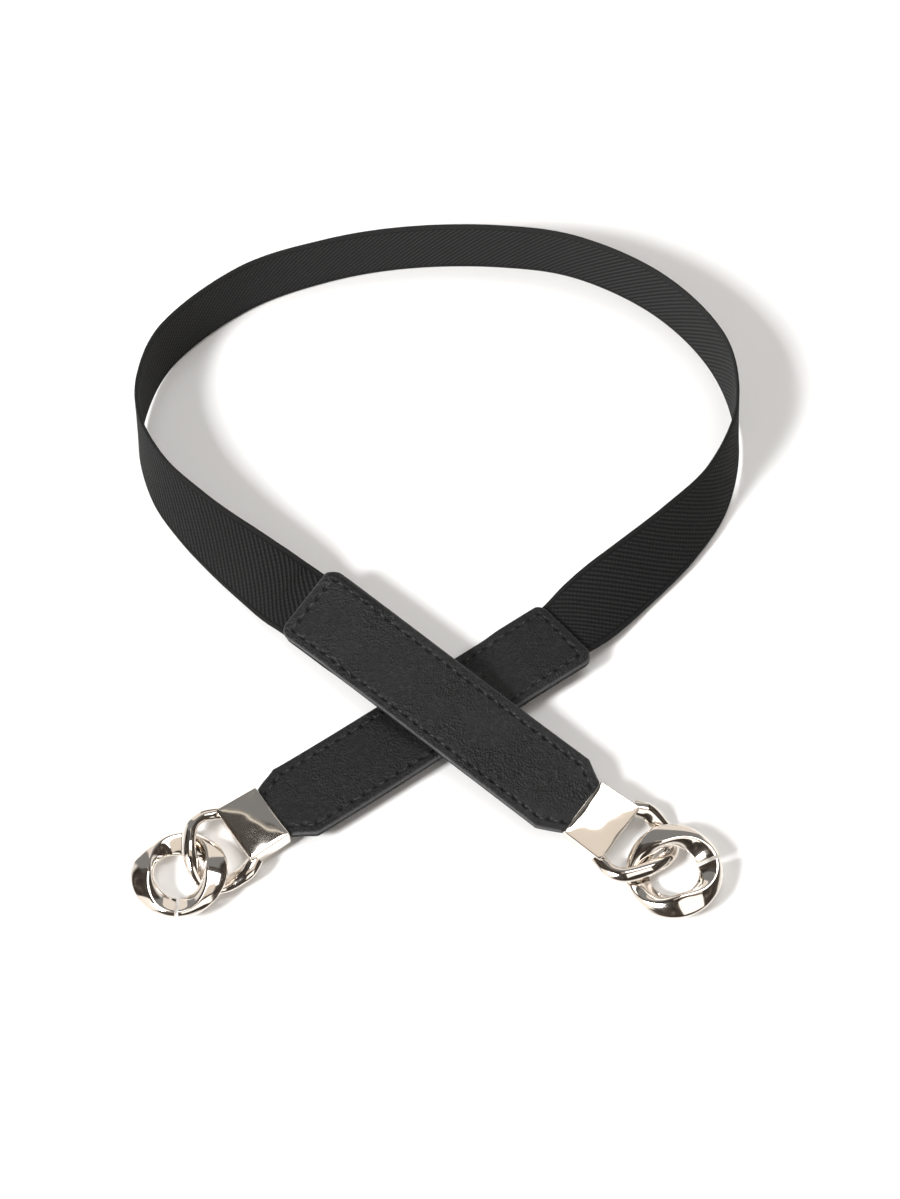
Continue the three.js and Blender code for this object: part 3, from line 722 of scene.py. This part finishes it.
def box_loop(width, thick, corner):
    """A rounded rectangle round the origin as 60 points: straight sides between quarter circles."""
    turn = np.linspace(0, math.pi / 2, 5)
    arc = np.column_stack([width / 2 - corner + corner * np.cos(turn),
                           thick / 2 - corner + corner * np.sin(turn)])
    across = np.linspace(arc[-1, 0], -arc[-1, 0], 22)[1:-1]
    top = np.column_stack([across, np.full(len(across), thick / 2)])
    half = np.vstack([arc, top, (arc * (-1, 1))[::-1]])
    return np.vstack([half, -half])


def cap_rows():
    """The cap's loops: each one's distance from the rear face, width, thickness and corner radius.

    They run from the bottom of the slot, out over the rear rim, and forward over the sides to the front face.
    The first three are the slot's, with a bevelled mouth. The rear and front edges are quarter circles.
    """
    edge, length, thick = CAP["edge"], CAP["length"], CAP["thick"]
    slot_thick = 2 * (TAB["layer"] + TAB["seam"] / 2 + CAP["play"])
    slot_width = CAP["rear"] - 2 * CAP["wall"]
    corner, bevel, bevel_depth = 0.2, 0.15, 0.25
    rows = [(CAP["slot"], slot_width, slot_thick, corner), (bevel_depth, slot_width, slot_thick, corner),
            (0.0, slot_width + 2 * bevel, slot_thick + 2 * bevel, 2 * bevel)]
    for turn in np.linspace(0, math.pi / 2, 4):
        sink = edge * (1 - math.sin(turn))
        rows.append((edge * (1 - math.cos(turn)), CAP["rear"] - 2 * sink, thick - 2 * sink, CAP["corner"]))
    for x in np.concatenate([[0.5, 0.6, 0.7, 0.85, 1.0, 1.1], np.linspace(edge, length - edge, 16)[1:]]):
        rows.append((x, CAP["rear"] + (CAP["front"] - CAP["rear"]) * x / length, thick, CAP["corner"]))
    for turn in np.linspace(0, math.pi / 2, 4)[1:]:
        sink = edge * (1 - math.cos(turn))
        x = length - edge * (1 - math.sin(turn))
        rows.append((x, CAP["front"] - 2 * sink, thick - 2 * sink, CAP["corner"]))
    return rows


def cap_shell(side_name):
    """The cap's box, of one rounded rectangle at each row.

    The outer ones bulge by the crown times one minus the square of both places. Near the rear rim the faces
    roll down towards the leather, most at the middle, by the square of what is left of the reach.
    """
    loops = []
    for n, (x, width, thick, corner) in enumerate(cap_rows()):
        loop = box_loop(width, thick, corner)
        side, height = loop.T
        if n > 2:
            across = 1 - (2 * side / width) ** 2
            bulge = CAP["crown"] * across * (1 - (2 * x / CAP["length"] - 1) ** 2)
            roll = CAP["roll"] * across * max(0, 1 - x / CAP["roll_reach"]) ** 2
            height = height + np.sign(height) * (bulge - roll)
        loops.append(in_cap(TABS[side_name], np.full(len(loop), x), side, height))
    points = np.array(loops)
    faces = loops_to_faces(*points.shape[:2], strips=True)
    add_piece(f"cap_{side_name}", points, faces, nickel, "belt", [f"end_cap_{side_name}"], 30)


def ridged_section(halfs, ridge, roundness, per_side=10):
    """A bar's section: a square's outline stood on its corner, its top and bottom corners moved sideways.

    The sides bulge from straight, at roundness 0, to an ellipse, at 1. Each point is then the weighted mean
    of its neighbours, 1 2 3 2 1, which rounds the corners as polishing does. Returns sideways and upward
    offsets.
    """
    step = np.linspace(-1, 1, per_side + 1)[:-1]
    one = np.ones(per_side)
    b = np.concatenate([step, one, -step, -one])
    c = np.concatenate([-one, step, one, -step])
    rise, side = (b + c) / 2, (b - c) / 2
    scale = 1 + (1 / np.hypot(rise, side) - 1) * roundness
    ridge = np.atleast_1d(ridge)[:, None]
    sideways = (rise * ridge + side * halfs[0]) * scale
    outline = np.stack([sideways, np.broadcast_to(rise * halfs[1] * scale, sideways.shape)])
    weights = zip(range(-2, 3), (1, 2, 3, 2, 1))
    rounded = sum(weight * np.roll(outline, shift, axis=2) for shift, weight in weights) / 9
    return rounded[0], rounded[1]


# forward of the cap's front face, to its side, over its middle plane and the bar's width, along the half link
LINK_PATH = np.array([
    (-1.6, -8.2, 0, 4), (0.6, -9.0, 0.9, 4), (3.8, -9.7, 1.9, 4), (7.0, -8.8, 2.7, 4), (9.6, -6.2, 2.9, 4),
    (12.0, -2.3, 2.5, 4), (13.2, 1.5, 0.9, 4), (13.0, 5.2, -1.4, 4.2), (11.0, 7.6, -2.95, 4.6),
    (8.1, 8.8, -3.0, 5), (5.0, 9.5, -1.9, 5.2), (1.8, 9.8, -0.8, 5), (-1.6, 8.4, -0.3, 4.4)])
LINK = {"thick": 2.6, "ridge": 0.5, "roundness": 0.6}


def half_link(side_name, rows=130):
    """The half link: the ridged section along its smooth path, with a ridge that swings once to each side."""
    t = np.linspace(0, 1, 400)
    lengths = lengths_along(smooth_curve(LINK_PATH[:, :3], t)[0])
    share = np.linspace(0, 1, rows)
    place = np.interp(share * lengths[-1], lengths, t)
    middle, along = smooth_curve(LINK_PATH[:, :3], place)
    width = smooth_curve(beside_rows(LINK_PATH[:, 3]), place)[0][:, :1]
    out = unit(np.column_stack([along[:, 1], -along[:, 0], np.zeros(len(along))]))
    ridge = LINK["ridge"] * np.sin((2 * share - 1) * math.pi)
    sideways, upward = ridged_section((width / 2, LINK["thick"] / 2), ridge, LINK["roundness"])
    points = middle[:, None] + out[:, None] * sideways[..., None]
    points[..., 2] += upward
    points = in_cap(TABS[side_name], CAP["length"] + points[..., 0], points[..., 1], points[..., 2])
    faces = loops_to_faces(*points.shape[:2])
    add_piece(f"half_link_{side_name}", points, faces, nickel, "belt", [f"end_cap_{side_name}"], 40)


for side_name in TABS:
    cap_shell(side_name)
    half_link(side_name)


# The rings. Each is a twisted curb link of the same plated alloy, cut through at one side and hinged at the
# other, so that its outer half opens as a gate about a small pin. The half link runs through its other half.

# The gap is at this angle, in degrees, and the seam with the hinge is opposite.
RING = {"radius": 9.7, "width": 6.5, "thick": 4.2, "lift": 1.2, "ridge": 2.0, "roundness": 0.3,
        "gap_at": 53, "gap": 1.0, "seam": 0.4}
# The pin's radius and its place: outside the ring's middle line, behind the seam and over the bar's middle.
# Then the radius of the eye round it, the tongue's thickness, and the play round pin and tongue.
HINGE = {"pin": 0.55, "offset": 1.5, "behind": 1.3, "middle": 0.45, "eye": 1.35, "tongue": 0.9, "play": 0.3}
# Each ring's place, and its turn, roll and pitch in degrees.
RING_POSE = {"right": (61.9, -91.5, 4.36, -36.5, 8.5, 2), "left": (-67.5, -92.0, 4.31, 216.5, 8, 2)}
gap_angle = math.radians(RING["gap_at"])
hinge_angle = gap_angle + math.pi


def in_ring(side_name, points):
    """Points in a ring's frame, rolled about x, pitched up, turned about z and moved to the ring's place."""
    x, y, z, *angles = RING_POSE[side_name]
    turn, roll, pitch = (math.radians(angle) for angle in angles)
    c, s = math.cos(roll), math.sin(roll)
    rolled = points @ np.array([(1, 0, 0), (0, c, s), (0, -s, c)])
    c, s = math.cos(pitch), math.sin(pitch)
    pitched = rolled @ np.array([(c, 0, s), (0, 1, 0), (-s, 0, c)])
    c, s = math.cos(turn), math.sin(turn)
    return pitched @ np.array([(c, s, 0), (-s, c, 0), (0, 0, 1)]) + (x, y, z)


def ring_half(start, stop, gap_at_start, gap_at_stop, rows=110):
    """A stretch of the ring: the ridged section carried round, rising and falling twice in a turn.

    With wave the cosine of twice the angle from the gap, the bar lies lower by the lift times wave, and its
    ridge stands outwards by the ridge times wave. Each end is cut flat, half its gap from the gap's middle.
    """
    def section(angle):
        """The bar's distances from the ring's axis and heights, at each angle round the ring."""
        wave = np.cos(2 * (angle - gap_angle))
        halfs = (RING["width"] / 2, RING["thick"] / 2)
        sideways, upward = ridged_section(halfs, RING["ridge"] * wave, RING["roundness"], 12)
        return RING["radius"] + sideways, upward - RING["lift"] * wave[:, None]

    first = start + np.arcsin(gap_at_start / 2 / section(np.array([start]))[0][0])
    last = stop - np.arcsin(gap_at_stop / 2 / section(np.array([stop]))[0][0])
    share = np.linspace(0, 1, rows)[:, None]
    angle = first * (1 - share) + last * share
    radius, height = section(np.linspace(start, stop, rows))
    points = np.stack([radius * np.cos(angle), radius * np.sin(angle), height], -1)
    return points.reshape(-1, 3), loops_to_faces(rows, angle.shape[1])


def in_hinge(points):
    """Points in the hinge's frame, x across the seam towards the gate and y inwards, put into the ring's."""
    turn = hinge_angle + math.pi / 2
    ahead = np.array([math.cos(turn), math.sin(turn), 0])
    inside = np.array([-math.sin(turn), math.cos(turn), 0])
    place = -inside * (RING["radius"] + HINGE["offset"]) - ahead * HINGE["behind"]
    place = place + (0, 0, HINGE["middle"] - RING["lift"])
    return place + points[:, :1] * ahead + points[:, 1:2] * inside + points[:, 2:] * (0, 0, 1)


def prism(side_name, outline, low, high):
    """An upright prism in a ring's hinge frame, to carve with: its outline at two heights, joined."""
    outline = np.asarray(outline, float)
    points = np.vstack([np.column_stack([outline, np.full(len(outline), z)]) for z in (low, high)])
    faces = loops_to_faces(2, len(outline))
    return add_piece("tool", in_ring(side_name, in_hinge(points)), faces, nickel, None)


def arc(radius, start, stop, count, closed=False):
    """Points of an outline round the hinge pin, from one angle to another."""
    angle = np.linspace(start, stop, count, endpoint=not closed)
    return np.column_stack([radius * np.cos(angle), radius * np.sin(angle)])


def carve(piece, tools):
    """Cuts each tool in turn from the piece, adds it or keeps what is common, by Blender's exact boolean.

    Points within 0.005 mm of each other are then made one, and points that only two edges share are taken
    out, because both would leave slivers.
    """
    for operation, tool in tools:
        modifier = piece.modifiers.new("carve", "BOOLEAN")
        modifier.operation, modifier.solver, modifier.object = operation, "EXACT", tool
        bpy.context.view_layer.update()
        mesh = bpy.data.meshes.new_from_object(piece.evaluated_get(bpy.context.evaluated_depsgraph_get()))
        piece.modifiers.clear()
        piece.data = mesh
        bpy.data.objects.remove(tool)
    edited = bmesh.new()
    edited.from_mesh(piece.data)
    bmesh.ops.remove_doubles(edited, verts=edited.verts, dist=0.005 * MM)
    bmesh.ops.dissolve_verts(edited, verts=[point for point in edited.verts if len(point.link_edges) == 2])
    edited.to_mesh(piece.data)
    edited.free()
    piece.data.shade_smooth()
    piece.data.set_sharp_from_angle(angle=math.radians(38))


def fasten_ring(piece, body, node):
    """Fastens a ring half to its body in place of its CAD node."""
    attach(piece, body)
    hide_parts(node)


def pin_hole(side_name, low, high):
    """A tool that bores the hinge's hole: a round prism wider than the pin by the play."""
    return prism(side_name, arc(HINGE["pin"] + HINGE["play"], 0, 2 * math.pi, 40, closed=True), low, high)


def ring_body(side_name):
    """The half round the half link, with a slot for the gate's tongue, a hollowed end and a pin hole."""
    far, back = RING["width"], -HINGE["eye"] - HINGE["play"]
    points, faces = ring_half(gap_angle, hinge_angle, RING["gap"], RING["seam"])
    half = add_piece(f"ring_half_{side_name}", in_ring(side_name, points), faces, nickel, None)
    slot = [(back, -far), (far, -far), (far, far), (back, far)]
    slot_top = HINGE["tongue"] / 2 + HINGE["play"]
    end = arc(HINGE["behind"] - RING["seam"] / 2, 0, -math.pi / 2, 12)
    corner = np.vstack([end, [(0, -far), (far, -far), (far, 0)]])
    carve(half, [("DIFFERENCE", prism(side_name, slot, -slot_top, slot_top)),
                 ("DIFFERENCE", prism(side_name, corner, -far, far)),
                 ("DIFFERENCE", pin_hole(side_name, -far, 1))])
    fasten_ring(half, "belt", f"ring_body_{side_name}")


def ring_gate(side_name):
    """The half that opens. Its tongue, with an eye for the pin, is cut from a stretch of bar at the seam."""
    eye, half_tongue, root = HINGE["eye"], HINGE["tongue"] / 2, HINGE["behind"] + 1
    points, faces = ring_half(hinge_angle - 0.4, hinge_angle + 0.3, 0, 0, 40)
    tongue = add_piece("tongue", in_ring(side_name, points), faces, nickel, None)
    outline = np.vstack([arc(eye, math.pi / 2, 3 * math.pi / 2, 24), [(root, -eye), (root, eye)]])
    carve(tongue, [("INTERSECT", prism(side_name, outline, -half_tongue, half_tongue))])
    points, faces = ring_half(hinge_angle - 2 * math.pi, gap_angle, RING["seam"], RING["gap"])
    gate = add_piece(f"gate_{side_name}", in_ring(side_name, points), faces, nickel, None)
    carve(gate, [("UNION", tongue), ("DIFFERENCE", pin_hole(side_name, -HINGE["tongue"], HINGE["tongue"]))])
    fasten_ring(gate, f"gate_{side_name}", f"ring_gate_{side_name}")


for side_name in TABS:
    ring_body(side_name)
    ring_gate(side_name)
    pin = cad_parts[f"ring_pin_{side_name}"]
    pin.data.materials.clear()
    pin.data.materials.append(nickel)
